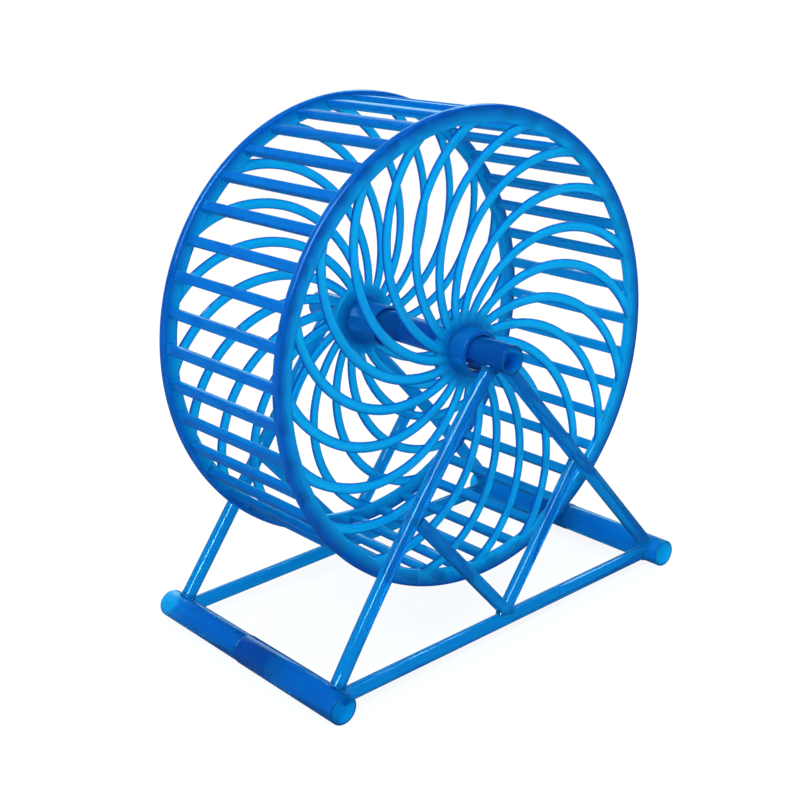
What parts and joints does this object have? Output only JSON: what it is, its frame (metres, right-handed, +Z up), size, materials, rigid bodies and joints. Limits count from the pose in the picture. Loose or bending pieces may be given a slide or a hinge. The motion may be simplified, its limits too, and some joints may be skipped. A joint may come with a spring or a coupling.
{
  "type": "hamster wheel",
  "caption": "Small running wheel for a hamster: a drum of flat rungs between two spiral-spoked rims, turning on a hollow axle between two A-frames.",
  "frame": {"origin": "on the floor under the middle of the stand", "axes": "+Z up, the axle along Y with the front of the wheel at -Y, the foot tubes along Y at -X and +X"},
  "size_m": [0.111, 0.07, 0.1229],
  "materials": {
    "wheel_plastic": "translucent blue, glossy",
    "stand_plastic": "translucent blue, glossy"
  },
  "bodies": {
    "stand": {"front_axle_tube": "stand_plastic", "front_left_foot_socket": "stand_plastic", "front_right_foot_plug": "stand_plastic", "front_left_leg": "stand_plastic", "front_right_leg": "stand_plastic", "front_rail": "stand_plastic", "front_left_strut": "stand_plastic", "front_right_strut": "stand_plastic", "rear_axle_tube": "stand_plastic", "rear_right_foot_socket": "stand_plastic", "rear_left_foot_plug": "stand_plastic", "rear_right_leg": "stand_plastic", "rear_left_leg": "stand_plastic", "rear_rail": "stand_plastic", "rear_right_strut": "stand_plastic", "rear_left_strut": "stand_plastic"},
    "wheel": {"front_side_disc": "wheel_plastic", "front_hub_bush": "wheel_plastic", "rear_side_disc": "wheel_plastic", "rear_hub_bush": "wheel_plastic", "rung_01": "wheel_plastic", "rung_02": "wheel_plastic", "rung_03": "wheel_plastic", "rung_04": "wheel_plastic", "rung_05": "wheel_plastic", "rung_06": "wheel_plastic", "rung_07": "wheel_plastic", "rung_08": "wheel_plastic", "rung_09": "wheel_plastic", "rung_10": "wheel_plastic", "rung_11": "wheel_plastic", "rung_12": "wheel_plastic", "rung_13": "wheel_plastic", "rung_14": "wheel_plastic", "rung_15": "wheel_plastic", "rung_16": "wheel_plastic", "rung_17": "wheel_plastic", "rung_18": "wheel_plastic", "rung_19": "wheel_plastic", "rung_20": "wheel_plastic", "rung_21": "wheel_plastic", "rung_22": "wheel_plastic", "rung_23": "wheel_plastic", "rung_24": "wheel_plastic", "rung_25": "wheel_plastic", "rung_26": "wheel_plastic", "rung_27": "wheel_plastic", "rung_28": "wheel_plastic", "rung_29": "wheel_plastic", "rung_30": "wheel_plastic", "rung_31": "wheel_plastic", "rung_32": "wheel_plastic", "rung_33": "wheel_plastic", "rung_34": "wheel_plastic", "rung_35": "wheel_plastic", "rung_36": "wheel_plastic", "rung_37": "wheel_plastic", "rung_38": "wheel_plastic", "rung_39": "wheel_plastic", "rung_40": "wheel_plastic"}
  },
  "joints": [
    {"name": "wheel_spin", "type": "hinge", "parent": "stand", "child": "wheel", "pos_m": [0, -0.0009, 0.068], "axis": [0, 1, 0], "continuous": true}
  ]
}
